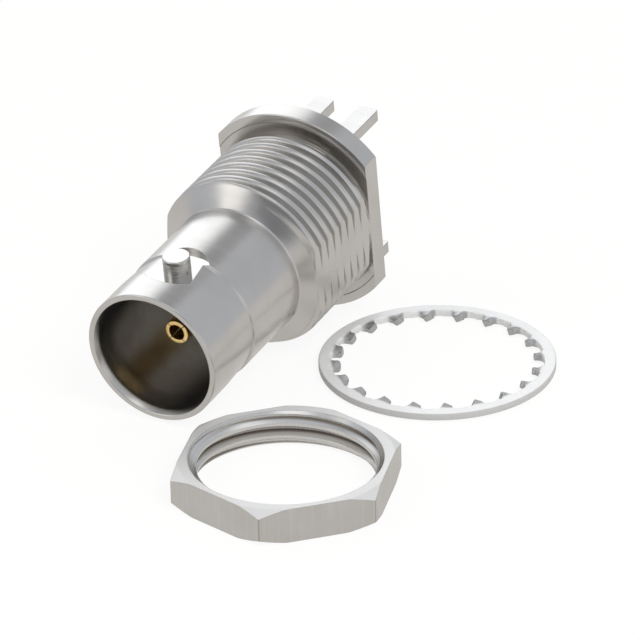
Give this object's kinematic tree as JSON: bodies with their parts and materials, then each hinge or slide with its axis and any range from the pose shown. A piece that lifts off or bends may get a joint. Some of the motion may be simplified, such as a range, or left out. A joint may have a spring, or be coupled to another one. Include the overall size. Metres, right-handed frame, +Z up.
{
  "type": "bulkhead bayonet coaxial jack",
  "caption": "Panel-mount bayonet coaxial jack with legs that straddle a circuit board's edge, lying beside its hex nut and internal-tooth lock washer.",
  "frame": {"origin": "centre of the underside of the box round the three pieces, on the surface they lie on", "axes": "+Z up, away from the surface and along the nut's and the washer's axes. The jack lies along Y with its mouth towards -Y, and its own axis rises 6.957 degrees towards +Y, because it rests on its lower lug and its flange. The nut and the washer lie on the +X side."},
  "size_m": [0.0264, 0.0368, 0.015],
  "materials": {
    "shell": "satin nickel plate on brass",
    "bead": "turned white fluoropolymer",
    "ring": "nickel plate on brass",
    "contact": "gold plate",
    "nut": "nickel plate on milled brass",
    "washer": "nickel plate on spring steel"
  },
  "bodies": {
    "root": {"body_shell": "shell", "front_insulator": "bead", "rear_insulator": "bead", "retaining_ring": "ring", "centre_contact": "contact", "hex_nut": "nut", "lock_washer": "washer"}
  },
  "joints": []
}
